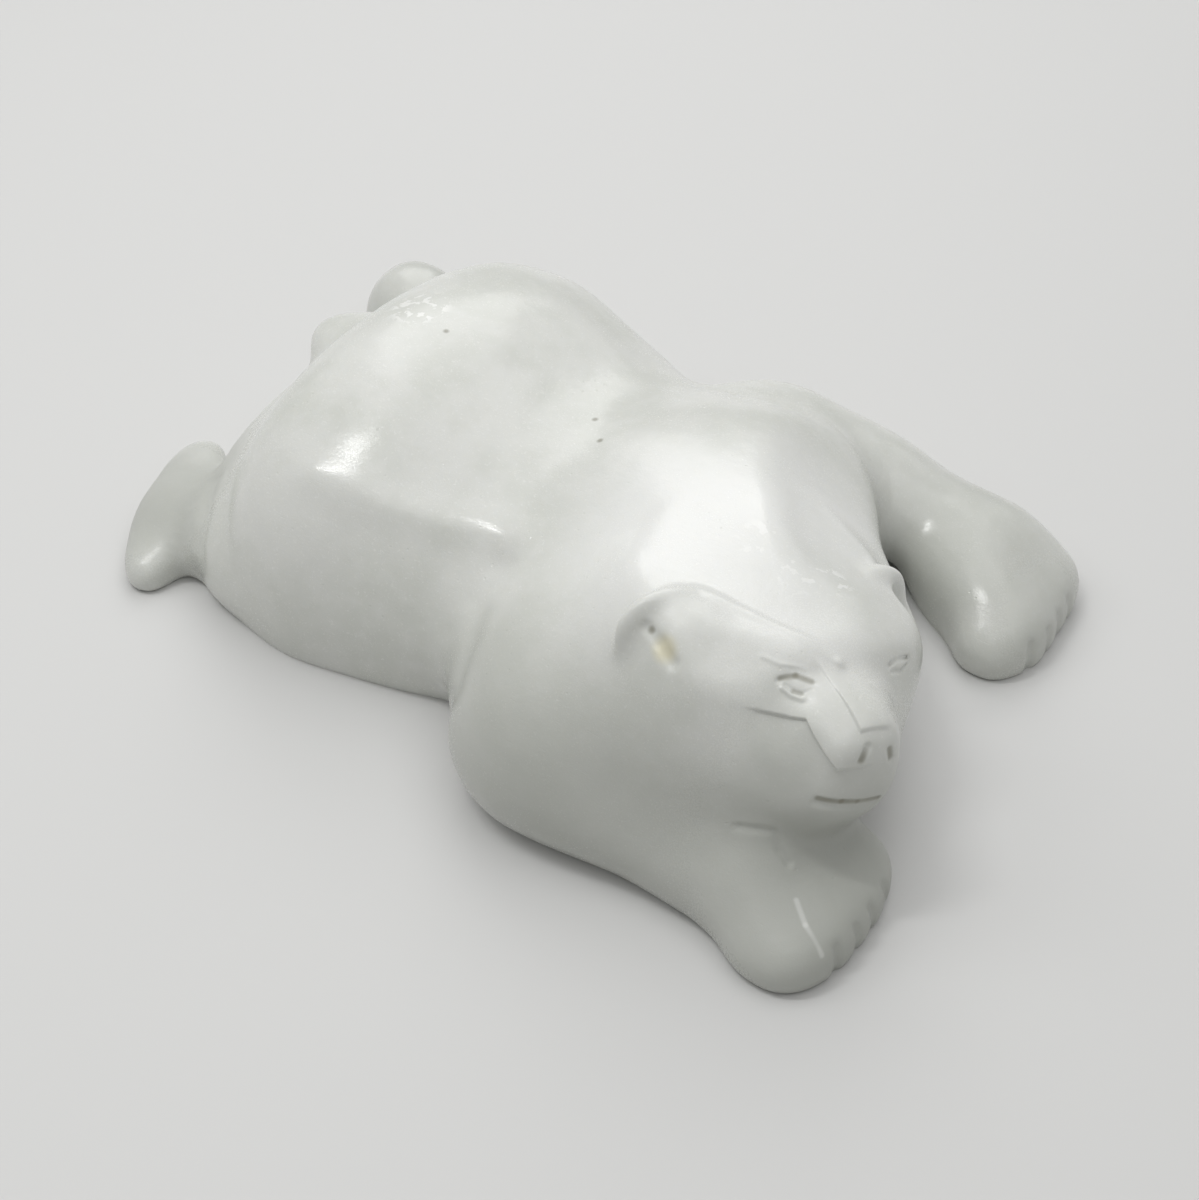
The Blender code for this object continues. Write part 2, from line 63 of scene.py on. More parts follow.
# %% Camera
AZIMUTH = 35.0
ELEVATION = 43.0
CAMERA_DISTANCE = 0.460
CAMERA_TARGET = Vector((0.01735, -0.01411, 0.0150))
LENS = 60.05


def direction_from(azimuth, elevation):
    """The way from the target to a viewer, with azimuth 0 on the bear's right side."""
    azimuth, elevation = radians(azimuth), radians(elevation)
    return Vector((sin(azimuth) * cos(elevation), -cos(azimuth) * cos(elevation), sin(elevation)))


def aim(thing, place, target):
    thing.location = place
    thing.rotation_euler = (place - target).to_track_quat("Z", "Y").to_euler()


camera_data = bpy.data.cameras.new("camera")
camera_data.sensor_width = 36.0
camera_data.lens = LENS
camera_data.clip_start = 0.01
camera = bpy.data.objects.new("camera", camera_data)
bpy.context.scene.collection.objects.link(camera)
aim(camera, CAMERA_TARGET + direction_from(AZIMUTH, ELEVATION) * CAMERA_DISTANCE, CAMERA_TARGET)
bpy.context.scene.camera = camera
print("camera at", [round(value, 3) for value in camera.location])

# %% [markdown]
# ## The form, written as a rule
# A carver thinks in masses: hips, chest, neck, a skull, a paw. Each mass here is a rounded ball or a
# tapering limb, and each has a function that says how far a point is from its skin. Two masses are joined
# by taking the nearer skin and easing the corner between them, which is what a rasp does to a join. It could
# also be sculpted by hand, but a rule can be read, measured and changed.

# %% Joining and cutting
def ease_together(a, b, radius):
    """Join two distances, filling the corner between them over the given radius."""
    overlap = np.maximum(radius - np.abs(a - b), 0.0) / radius
    return np.minimum(a, b) - overlap * overlap * radius * 0.25


def cut_away(a, b, radius):
    """Keep what is inside both distances, rounding the edge between them."""
    return -ease_together(-a, -b, radius)


def turned(turn, lift=0.0, tilt=0.0):
    """Columns are the forward, left and up directions of a frame with that turn, lift and tilt."""
    turn, lift, tilt = radians(turn), radians(lift), radians(tilt)
    forward = np.array((cos(turn) * cos(lift), sin(turn) * cos(lift), sin(lift)))
    level_left = np.array((-sin(turn), cos(turn), 0.0))
    left = level_left * cos(tilt) + np.cross(forward, level_left) * sin(tilt)
    return np.stack((forward, left, np.cross(forward, left)), axis=1)


def beyond(points, place, normal):
    """Distance in front of a plane."""
    normal = np.array(normal) / np.linalg.norm(normal)
    return (points - np.array(place)) @ normal


def ball(points, centre, half, turn=0.0, fullness=2.0):
    """Distance to a rounded mass. Fullness 2 is an ellipsoid, and more squares its shoulders."""
    place = np.abs((points - np.array(centre)) @ turned(turn)) / np.array(half)
    size = (place ** fullness).sum(1) ** (1.0 / fullness) + 1e-9
    slope = place ** (fullness - 1.0) / np.array(half) / (size ** (fullness - 1.0))[:, None]
    return (size - 1.0) / (np.linalg.norm(slope, axis=1) + 1e-9)


def limb(points, joints, radii, flatness, ease):
    """Distance to a tapering limb through joints, flattened in height."""
    squash = np.array((1.0, 1.0, 1.0 / flatness))
    points = points * squash
    joints = np.array(joints) * squash
    nearest = None
    for start, end, first, last in zip(joints, joints[1:], radii, radii[1:]):
        length = np.linalg.norm(end - start)
        along = (points - start) @ ((end - start) / length)
        across = np.sqrt(np.maximum(((points - start) ** 2).sum(1) - along * along, 0.0))
        taper = np.clip((first - last) / length, -0.95, 0.95)
        upright = np.sqrt(1.0 - taper * taper)
        side = upright * along - taper * across
        distance = upright * across + taper * along - first
        distance = np.where(side < 0.0, np.hypot(across, along) - first, distance)
        distance = np.where(side > upright * length, np.hypot(across, along - length) - last, distance)
        nearest = distance if nearest is None else ease_together(nearest, distance, ease)
    return nearest * min(1.0, flatness)


# %% [markdown]
# ## Trunk, legs and tail
# The trunk is four masses, and the belly is cut level with the table, because such a bear is
# carved from a slab and stands by its own weight. The right foreleg lies well forward and the left one is
# flatter. The numbers are in metres in the carver's frame, which is drawn before the block is centred, so
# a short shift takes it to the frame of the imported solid.

# %% Trunk, legs and tail
SHIFT_TO_CARVER = np.array((0.00265, -0.00389, 0.0))
HEAD_PLACE = np.array((0.0690, -0.0260, 0.0493))
TRUNK_EASE = 0.022
LIMB_EASE = 0.016


def body_form(points):
    hips = ball(points, (-0.0430, 0.0, 0.0125), (0.0305, 0.0630, 0.0445), fullness=2.3)
    rump = ball(points, (-0.0650, 0.0, 0.0060), (0.0270, 0.0520, 0.0235), fullness=2.1)
    waist = ball(points, (-0.0135, 0.0, 0.0105), (0.0365, 0.0570, 0.0375), fullness=2.2)
    chest = ball(points, (0.0365, 0.0, 0.0180), (0.0330, 0.0500, 0.0330), fullness=2.3)
    form = ease_together(hips, rump, LIMB_EASE)
    form = ease_together(form, waist, TRUNK_EASE)
    form = ease_together(form, chest, TRUNK_EASE)
    form = ease_together(form, right_foreleg(points), LIMB_EASE)
    neck_end = HEAD_PLACE + (-0.0065, 0.0125, -0.0235)
    neck = limb(points, ((0.0365, 0.0, 0.0180), neck_end), (0.0310, 0.0310), 1.0, LIMB_EASE)
    form = ease_together(form, neck, LIMB_EASE)
    form = cut_away(form, beyond(points, (0.038, 0.034, 0.047), (0.51, 0.41, 0.75)), 0.003)
    throat = ball(points, HEAD_PLACE + (-0.0120, -0.0122, -0.0273), (0.0270, 0.0240, 0.0230), fullness=2.1)
    form = ease_together(form, throat, LIMB_EASE)
    form = ease_together(form, left_foreleg(points), 0.007)
    for hind_leg in hind_legs(points):
        form = ease_together(form, hind_leg, 0.007)
    return ease_together(form, ball(points, (-0.0730, 0.0095, 0.0320), (0.0130, 0.0095, 0.0056)), 0.009)


def right_foreleg(points):
    joints = ((0.0375, -0.0480, 0.0165), (0.0375, -0.0577, 0.0127), (0.0835, -0.0590, 0.0070))
    leg = limb(points, joints, (0.0285, 0.0182, 0.0160), 0.85, LIMB_EASE)
    paw = ball(points, (0.1010, -0.0585, 0.0040), (0.0130, 0.0220, 0.0090), fullness=2.4)
    return ease_together(leg, paw, 0.010)


def left_foreleg(points):
    joints = ((0.0265, 0.0428, 0.0165), (0.0455, 0.0557, 0.0127), (0.0810, 0.0555, 0.0080))
    leg = limb(points, joints, (0.0255, 0.0130, 0.0157), 0.75, LIMB_EASE)
    paw = ball(points, (0.0965, 0.0443, 0.0040), (0.0105, 0.0215, 0.0087), fullness=2.4)
    inner = ball(points, (0.0867, 0.0413, 0.0040), (0.0175, 0.0098, 0.0120), -22.0, 2.1)
    return ease_together(ease_together(leg, paw, 0.010), inner, 0.008)


def hind_legs(points):
    right = limb(points, ((-0.060, -0.044, 0.009), (-0.0860, -0.0430, 0.005)), (0.016, 0.009), 0.85, 0.007)
    left = limb(points, ((-0.060, 0.044, 0.009), (-0.0930, 0.0578, 0.005)), (0.016, 0.010), 0.85, 0.007)
    right_foot = ball(points, (-0.0920, -0.0420, 0.0030), (0.0085, 0.0270, 0.0075), 25.0, 2.4)
    left_foot = ball(points, (-0.0970, 0.0578, 0.0030), (0.0113, 0.0127, 0.0157), 0.0, 2.4)
    return ease_together(right, right_foot, 0.008), ease_together(left, left_foot, 0.008)


print("trunk and legs are ready")

# %% [markdown]
# ## Head
# The head has its own frame, which is turned to the bear's right, lifted at the nose and tilted. Inside it
# the skull, cheeks and muzzle are rounded first. Then flat planes are rubbed across them, as a carver does
# with a file, and the crisp lines of the forehead and of the muzzle are simply where those planes meet.

# %% Head
HEAD_AXES = turned(-28.0, 5.0, -15.0)
MM = 0.001
BOTH_SIDES = (-1.0, 1.0)


def head_place(*forward_left_up):
    """A place given in the head's frame, in millimetres."""
    return np.array(forward_left_up) * MM


def head_form(points):
    muzzle = ball(points, head_place(26.0, 0.0, -16.0), head_place(17.5, 11.2, 14.0), fullness=2.8)
    for side in BOTH_SIDES:
        plane = beyond(points, head_place(30.0, 4.0 * side, 1.0), (0.31, 0.68 * side, 0.665))
        muzzle = cut_away(muzzle, plane, 0.0012)
    lip_side = beyond(points, head_place(36.0, -9.7, -9.5), (0.42, -1.0, 0.05))
    muzzle = cut_away(muzzle, lip_side, 0.0012)
    form = ball(points, head_place(0.0, 0.0, -17.0), head_place(28.0, 31.5, 26.0), fullness=2.6)
    cheeks = ball(points, head_place(15.9, 0.0, -20.5), head_place(25.0, 20.3, 15.9), fullness=2.2)
    form = ease_together(form, cheeks, 0.008)
    form = ease_together(form, muzzle, 0.005)
    brow = head_place(28.0, 0.0, 3.0)
    form = cut_away(form, beyond(points, brow, (-0.07, 0.0, 1.0)), 0.003)
    form = cut_away(form, beyond(points, brow - head_place(0, 1, 0), (0.48, -0.47, 0.74)), 0.0014)
    form = cut_away(form, beyond(points, brow + head_place(0, 1, 0), (0.22, 0.31, 0.93)), 0.0020)
    form = cut_away(form, beyond(points, brow, (0.42, 0.0, 0.90)), 0.0025)
    return cut_away(form, beyond(points, head_place(43.0, 0.0, -9.0), (1.0, 0.0, 0.08)), 0.004)


def add_ears(form, head):
    """A rounded flap stands out from each side of the crown. Only the near one flows into the cheek."""
    for side in BOTH_SIDES:
        flap = ball(head, head_place(0.2, 26.6 * side, -5.4), head_place(3.3, 9.0, 9.0), 4.0 * side)
        form = ease_together(form, flap, 0.0028)
    cheek = ball(head, head_place(4.0, -21.2, -6.5), head_place(6.6, 7.2, 7.4), -10.0)
    cup = ball(head, head_place(5.4, 31.4, -4.6), head_place(3.8, 3.4, 4.6), 20.0)
    form = ease_together(form, cheek, 0.006)
    return cut_away(form, -cup, 0.0045)


print("head is ready")

# %% [markdown]
# ## Chisel strokes
# The eyes, nostrils, mouth and toes are small cuts. Each one is a stroke: a short path through a few
# places on the stone, with a width and a depth that fades out sideways. A negative depth leaves a low ridge
# instead, such as the lip of an eyelid. This keeps every cut in the same language as the form, so no seam
# shows where it starts.

# %% Strokes on the face
def stroke(points, path, width):
    """How much each point lies under the tool, from 0 to 1, for a path of places."""
    path = np.array(path) * MM
    reach = 3.0 * width * MM
    close = np.all((points > path.min(0) - reach) & (points < path.max(0) + reach), axis=1)
    under = np.zeros(len(points))
    nearest = np.full(close.sum(), 1e9)
    for start, end in zip(path, path[1:]):
        span = end - start
        away = points[close] - start
        share = np.clip(away @ span / (span @ span), 0.0, 1.0)
        nearest = np.minimum(nearest, np.linalg.norm(away - share[:, None] * span, axis=1))
    under[close] = np.exp(-((nearest / (width * MM)) ** 2))
    return under


def scarp(points, path, edge, fade, outward):
    """A facet edge: nothing on the left of the path, and on its right a step down that fades out again."""
    path = np.array(path) * MM
    close = np.all((points > path.min(0) - 2.6 * fade * MM) & (points < path.max(0) + 2.6 * fade * MM), axis=1)
    count = close.sum()
    nearest, height, past = np.full(count, 1e9), np.zeros(count), np.zeros(count)
    last = len(path) - 2
    for number, (start, end) in enumerate(zip(path, path[1:])):
        span = end - start
        length = np.linalg.norm(span)
        low = np.cross(span, outward)
        low = low / np.linalg.norm(low)
        away = points[close] - start
        along = away @ span / length
        gap = away - (np.clip(along, 0.0, length) / length)[:, None] * span
        distance = np.linalg.norm(gap, axis=1)
        drop = gap @ low
        tie = (np.abs(distance - nearest) < 1e-7) & (np.abs(drop) > np.abs(height))
        better = (distance < nearest - 1e-7) | tie
        before = np.maximum(-along, 0.0) if number == 0 else 0.0
        after = np.maximum(along - length, 0.0) if number == last else 0.0
        nearest = np.where(better, distance, nearest)
        height = np.where(better, drop, height)
        past = np.where(better, before + after, past)
    step = np.clip(0.5 + height / (edge * MM), 0.0, 1.0)
    fading = np.exp(-((nearest / (fade * MM)) ** 2) - (past / (END_FADE * MM)) ** 2)
    under = np.zeros(len(points))
    under[close] = step * step * (3.0 - 2.0 * step) * fading
    return under


END_FADE = 3.2

# Each row is a depth and a width in millimetres, then the path.
FACE_STROKES = (
    # the near eye: upper lid, lower lid, the bright lip under it
    (1.60, 0.42, ((24.6, -13.0, -2.9), (24.9, -11.4, -2.0), (25.8, -9.4, -1.3), (27.1, -7.5, -1.4), (28.0, -6.6, -1.9))),
    (0.75, 0.36, ((25.8, -12.0, -3.3), (27.2, -10.8, -3.9), (28.4, -9.6, -4.0), (28.7, -7.8, -2.8))),
    (-0.45, 0.50, ((25.8, -12.6, -4.0), (27.4, -11.2, -4.8), (29.0, -9.6, -4.8))),
    # the line of the brow, which turns down and bounds the flat strip of the nose
    (-0.20, 0.50, ((19.9, -14.7, -0.2), (22.5, -12.2, -0.5), (24.5, -8.7, -0.3), (26.8, -4.6, -0.3))),
    # the long ridge from the ear to the nose
    (-0.50, 1.40, ((-1.1, -26.0, 2.9), (0.4, -18.8, 2.9), (8.9, -13.2, 2.9), (18.9, -6.1, 2.6), (25.5, -0.2, 0.5))),
    (-0.30, 0.80, ((25.5, -0.2, 0.5), (30.7, 4.3, -1.8), (32.3, 11.5, -8.3))),
    # the far eye
    (0.85, 0.42, ((24.4, 14.2, -3.2), (23.6, 17.0, -2.8), (21.4, 21.0, -4.2))),
    (0.50, 0.40, ((25.2, 14.8, -4.4), (24.0, 18.2, -5.6), (21.6, 21.0, -5.2))),
    # nostrils, mouth with its tick, the chamfer of the lower lip
    (2.20, 0.62, ((41.6, -0.9, -8.8), (42.2, -1.7, -10.2), (42.6, -2.3, -11.8))),
    (2.00, 0.60, ((41.9, 4.6, -9.8), (41.8, 5.8, -12.4))),
    (2.60, 0.42, ((40.7, -9.2, -20.7), (42.6, -4.8, -20.8), (43.0, 0.1, -21.4), (42.1, 5.7, -22.0))),
    (1.00, 0.80, ((40.7, -8.8, -21.9), (42.6, -4.8, -22.0), (43.0, 0.1, -22.6), (42.1, 5.7, -23.2))),
    (1.20, 0.36, ((40.4, -9.7, -18.8), (40.9, -9.0, -22.2))),
    # the narrow hollow of the near ear, and the hole in the far one
    (1.50, 1.00, ((3.4, -31.4, -2.4), (7.1, -30.4, -3.6))),
    (1.20, 1.30, ((7.1, -30.4, -3.6), (11.4, -29.2, -5.6))),
    (0.90, 0.80, ((1.6, 29.6, -3.2), (0.6, 29.4, -3.4))),
    # tool marks in the corner between chin and foreleg
    (0.90, 0.60, ((30.1, -17.6, -34.4), (34.7, -11.7, -33.1), (36.3, -10.4, -36.7), (38.4, -8.8, -38.7))),
)
EYE_BALLS = ((26.8, -9.9, -2.7), (24.0, 17.5, -4.2))
# Each row is a depth, the width of the edge, how far the low side fades, and the way the stone faces there.
FACE_SCARPS = (
    # the flat under the eye ends in a crisp edge, and the cheek lies lower
    (0.85, 0.5, 6.0, (0.6, -0.7, 0.4), (
        (27.0, -16.1, -8.4), (30.2, -12.6, -8.0), (32.4, -10.4, -7.2), (35.8, -9.9, -9.2), (39.0, -9.0, -11.1),
        (41.5, -6.9, -13.5), (42.4, -2.9, -12.7))),
    # the flat strip of the nose stands a little above the side of the muzzle
    (0.45, 0.5, 2.6, (0.3, -0.3, 0.9), ((26.8, -4.2, -0.4), (33.5, -3.2, -2.8), (39.6, -2.3, -6.0), (39.9, 2.9, -5.6))),
)


def carve_face(form, head):
    for depth, width, path in FACE_STROKES:
        form = form + depth * MM * stroke(head, path, width)
    for place in EYE_BALLS:
        form = form - 0.30 * MM * stroke(head, (place, np.array(place) + 0.01), 1.6)
        form = form + 0.45 * MM * stroke(head, (place, np.array(place) + 0.01), 4.6)
    for depth, edge, fade, outward, path in FACE_SCARPS:
        form = form + depth * MM * scarp(head, path, edge, fade, outward)
    return form


print("strokes on the face:", len(FACE_STROKES))

# %% [markdown]
# ## Marks on the body
# A valley behind the right shoulder and another round the hind foot come from a round file. The toes are
# short cuts that fan over the front rim of each forepaw. The back keeps a low turn where the top meets the
# flank. Last, no hand-rubbed surface is perfectly even, so a slow, very low wave runs over all of it.

# %% Marks on the body
BODY_STROKES = (
    (0.90, 4.0, ((10.1, -41.6, 36.6), (9.5, -48.3, 32.6), (13.6, -57.2, 29.8), (17.0, -65.9, 24.0), (15.6, -67.6, 8.0))),
    (0.80, 2.6, ((-77.9, -40.6, 19.6), (-70.2, -52.4, 19.0), (-67.2, -58.5, 12.3), (-70.2, -57.6, 4.5))),
    (-0.90, 5.0, ((-37.6, -46.8, 44.3), (-17.1, -43.1, 41.6), (-0.7, -36.4, 40.0), (8.4, -32.9, 40.4))),
)
TOE_CUTS = 4
TOE_FAN = 68.0
TOE_HEIGHTS = (0.5, 3.0, 5.5, 8.0)
PAWS = (((98.0, -58.0), 0.0), ((92.0, 44.0), -6.0))


def plain_form(points):
    """The surface before any small cut."""
    head = (points - HEAD_PLACE) @ HEAD_AXES
    return add_ears(ease_together(body_form(points), head_form(head), 0.014), head)


def meet(starts, directions):
    """The places where lines, followed from outside, first meet the plain form."""
    places = np.array(starts, dtype=float)
    for _ in range(60):
        places = places + directions * 0.8 * plain_form(places)[:, None]
    return places


def toe_path(middle, heading):
    """Up the rim of a paw from the table, over its front."""
    outward = np.array((cos(radians(heading)), sin(radians(heading)), 0.0))
    starts = [np.array((*middle, height)) * MM + outward * 0.035 for height in TOE_HEIGHTS]
    return meet(starts, -outward) / MM


TOE_PATHS = [
    toe_path(middle, turn + TOE_FAN * (number / (TOE_CUTS - 1) - 0.5))
    for middle, turn in PAWS for number in range(TOE_CUTS)
]


def uneven(points, size, seed, waves=7):
    """A slow random wave over the stone, from -1 to 1, made of a few plane waves."""
    chance = np.random.default_rng(seed)
    total = np.zeros(len(points))
    for _ in range(waves):
        heading = chance.normal(size=3)
        heading = heading / np.linalg.norm(heading) * 6.283 / (size * chance.uniform(0.7, 1.5))
        total += np.sin(points @ heading + chance.uniform(0.0, 6.283))
    return total / waves ** 0.5 / 1.6


def carve_body(form, points):
    for depth, width, path in BODY_STROKES:
        form = form + depth * MM * stroke(points, path, width)
    for path in TOE_PATHS:
        form = form + 1.5 * MM * stroke(points, path, 1.0)
    return form


KEEL = 0.004


def carved_form(points):
    """The whole finished surface, with a keel under the table line that is trimmed off later."""
    points = points + SHIFT_TO_CARVER
    form = carve_face(plain_form(points), (points - HEAD_PLACE) @ HEAD_AXES)
    form = carve_body(form, points)
    form = form + 0.10 * MM * uneven(points, 0.022, 3) + 0.035 * MM * uneven(points, 0.006, 8)
    return cut_away(form, -points[:, 2] - KEEL, 0.0015)


print("body strokes:", len(BODY_STROKES), "toe cuts:", len(TOE_PATHS))

# %% [markdown]
# ## From the solid to fine stone
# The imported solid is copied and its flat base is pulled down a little, so there is spare stone to trim.
# A voxel remesh gives it even cells. Then the points walk onto the rule, sliding along the surface between
# the steps so that they stay evenly spread. Where the carving is small the cells are split again, which is
# cheaper than making the whole bear that fine.

# %% Helpers for the mesh
def evaluated_copy(thing):
    graph = bpy.context.evaluated_depsgraph_get()
    return bpy.data.meshes.new_from_object(thing.evaluated_get(graph))


def mesh_arrays(mesh):
    points = np.empty(len(mesh.vertices) * 3)
    mesh.vertices.foreach_get("co", points)
    edges = np.empty(len(mesh.edges) * 2, dtype=np.int64)
    mesh.edges.foreach_get("vertices", edges)
    return points.reshape(-1, 3), edges.reshape(-1, 2)


def slope_of(form, points, step=0.00012):
    """Distance and outward direction at each point, from four samples around it."""
    corners = np.array(((1, -1, -1), (-1, -1, 1), (-1, 1, -1), (1, 1, 1)), dtype=float)
    samples = [form(points + corner * step) for corner in corners]
    distance = sum(samples) / len(samples)
    outward = sum(corner[None] * sample[:, None] for corner, sample in zip(corners, samples))
    steep = np.linalg.norm(outward, axis=1) + 1e-12
    outward /= steep[:, None]
    return distance / np.maximum(steep / (4 * step), 0.5), outward


def neighbour_mean(points, edges):
    total = np.zeros_like(points)
    count = np.bincount(edges.ravel(), minlength=len(points))
    for axis in range(3):
        total[:, axis] = np.bincount(edges[:, 0], points[edges[:, 1], axis], len(points))
        total[:, axis] += np.bincount(edges[:, 1], points[edges[:, 0], axis], len(points))
    return total / count[:, None]


def in_zones(points, zones):
    """Which points lie in any of the zones, each a place and a radius."""
    inside = np.zeros(len(points), dtype=bool)
    for place, radius in zones:
        inside |= np.linalg.norm(points - np.array(place), axis=1) < radius
    return inside


def draw_onto(mesh, rounds, spreading, zones=None, longest_step=0.002):
    """Move a mesh's points onto the carved form, all of them or those in the zones."""
    points, edges = mesh_arrays(mesh)
    moving = np.ones(len(points), dtype=bool) if zones is None else in_zones(points, zones)
    for number in range(rounds):
        distance, outward = slope_of(carved_form, points[moving])
        points[moving] -= outward * np.clip(distance, -longest_step, longest_step)[:, None]
        if number < spreading:
            shift = (neighbour_mean(points, edges) - points)[moving]
            shift -= outward * (shift * outward).sum(1)[:, None]
            points[moving] += 0.5 * shift
    mesh.vertices.foreach_set("co", points.ravel())
    mesh.update()
    return float(np.abs(distance).max())


# %% Blank with a keel
CELL = 0.00140

keeled = blank.data.copy()
for vertex in keeled.vertices:
    if vertex.co.z < 1e-5:
        vertex.co.z = -KEEL
stone = bpy.data.objects.new("soapstone_bear", keeled)
bpy.context.scene.collection.objects.link(stone)
remesh = stone.modifiers.new("even_cells", "REMESH")
remesh.mode = "VOXEL"
remesh.voxel_size = CELL
even = evaluated_copy(stone)
stone.modifiers.clear()
stone.data = even
print("even cells:", len(even.polygons), "left to go:", round(draw_onto(even, 8, 6) * 1000, 3), "mm")

# %% [markdown]
# ## Finer cells where the carving is small
# The head and the toes are split once, and the eyes, nostrils, mouth and ears twice more. Each zone is a
# ball around the carving that needs it. After each split the new points are drawn onto the rule again.

# %% Split and draw again
def head_to_frame(*forward_left_up):
    """A place in the head's frame, in millimetres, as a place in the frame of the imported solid."""
    return HEAD_PLACE + HEAD_AXES @ head_place(*forward_left_up) - SHIFT_TO_CARVER


def split_zones(mesh, zones):
    """Split every cell edge whose middle lies in one of the zones."""
    cells = bmesh.new()
    cells.from_mesh(mesh)
    middles = np.array([(edge.verts[0].co + edge.verts[1].co) / 2 for edge in cells.edges])
    chosen = [edge for edge, inside in zip(cells.edges, in_zones(middles, zones)) if inside]
    bmesh.ops.subdivide_edges(cells, edges=chosen, cuts=1, use_grid_fill=True)
    cells.to_mesh(mesh)
    cells.free()
    mesh.update()
    return len(chosen)


wide_zones = [(head_to_frame(20, 0, -12), 0.036), (head_to_frame(0, -27, -5), 0.014)]
wide_zones += [(head_to_frame(0, 27, -5), 0.014)]
toe_zones = [(Vector(path[1]) * MM - Vector(SHIFT_TO_CARVER), 0.0065) for path in TOE_PATHS]
fine_zones = [(head_to_frame(30, -9, -5), 0.0125), (head_to_frame(38, -5, -9), 0.0100)]
fine_zones += [(head_to_frame(17, -8, 2), 0.0060), (head_to_frame(9, -13, 2.5), 0.0060)]
fine_zones += [(head_to_frame(27, -10, -3.2), 0.0062), (head_to_frame(24, 17.5, -4.4), 0.0062)]
fine_zones += [(head_to_frame(42, -1.8, -10.2), 0.0036), (head_to_frame(42, 5.2, -11.4), 0.0036)]
fine_zones += [(head_to_frame(41.5, y, -21.5), 0.0040) for y in (-8, -4, 0, 4)]
fine_zones += [(head_to_frame(7.0, 30.0 * side, -4.0), 0.0090) for side in BOTH_SIDES]
finest_zones = [(head_to_frame(27, -10, -3.2), 0.0042), (head_to_frame(23, 17.5, -4.4), 0.0040)]
finest_zones += [(head_to_frame(42.3, y, -21.2), 0.0030) for y in (-8.5, -4.5, 0, 4.5)]
finest_zones += [(head_to_frame(33, -10.5, -8), 0.0036), (head_to_frame(39, -9, -11.3), 0.0036)]
finest_zones += [(head_to_frame(34, -3.2, -3), 0.0036), (head_to_frame(39.6, -1, -6), 0.0032)]

def split_and_draw(name, zones):
    split = split_zones(even, zones)
    wider = [(place, radius * 1.1) for place, radius in zones]
    print(name, "zones:", split, "edges split,", round(draw_onto(even, 4, 2, wider) * 1000, 3), "mm left to go")


split_and_draw("wide", wide_zones + toe_zones)
split_and_draw("fine", fine_zones)
split_and_draw("finest", finest_zones)

# %% Trim the base flat
trimmed = bmesh.new()
trimmed.from_mesh(even)
parts = list(trimmed.verts) + list(trimmed.edges) + list(trimmed.faces)
base = bmesh.ops.bisect_plane(
    trimmed, geom=parts, dist=1e-7, plane_co=(0.0, 0.0, 0.0), plane_no=(0.0, 0.0, 1.0), clear_inner=True
)
rim = [edge for edge in base["geom_cut"] if isinstance(edge, bmesh.types.BMEdge)]
for edge in rim:
    for vertex in edge.verts:
        vertex.co.z = 0.0
bmesh.ops.triangle_fill(trimmed, edges=rim, normal=(0.0, 0.0, -1.0), use_beauty=True)
bmesh.ops.triangulate(trimmed, faces=trimmed.faces)
bmesh.ops.recalc_face_normals(trimmed, faces=trimmed.faces)
trimmed.to_mesh(even)
open_edges = sum(not edge.is_manifold for edge in trimmed.edges)
trimmed.free()
even.shade_smooth()
even.set_sharp_from_angle(angle=radians(60.0))
print("triangles:", len(even.polygons), "open edges:", open_edges)

# %% [markdown]
# ## Shader maths as plain expressions
# Stone is built from masks: clouds, veins, pits, scratches. Written node by node that is long, so one small
# class wraps a socket and lets sums and products be written as they are on paper. Every other node
# comes from one method, which sets the node up first and then feeds its sockets.

# %% A small kit for materials
class Wire:
    """One output socket, so that shader maths reads as an expression."""

    def __init__(self, recipe, socket):
        self.recipe = recipe
        self.socket = socket

    def sum_node(self, operation, *values):
        return self.recipe.node("ShaderNodeMath", {"operation": operation}, *values)

    def __add__(self, other):
        return self.sum_node("ADD", self, other)

    def __radd__(self, other):
        return self.sum_node("ADD", other, self)

    def __sub__(self, other):
        return self.sum_node("SUBTRACT", self, other)

    def __rsub__(self, other):
        return self.sum_node("SUBTRACT", other, self)

    def __mul__(self, other):
        return self.sum_node("MULTIPLY", self, other)

    def __rmul__(self, other):
        return self.sum_node("MULTIPLY", other, self)

    def __pow__(self, other):
        return self.sum_node("POWER", self, other)


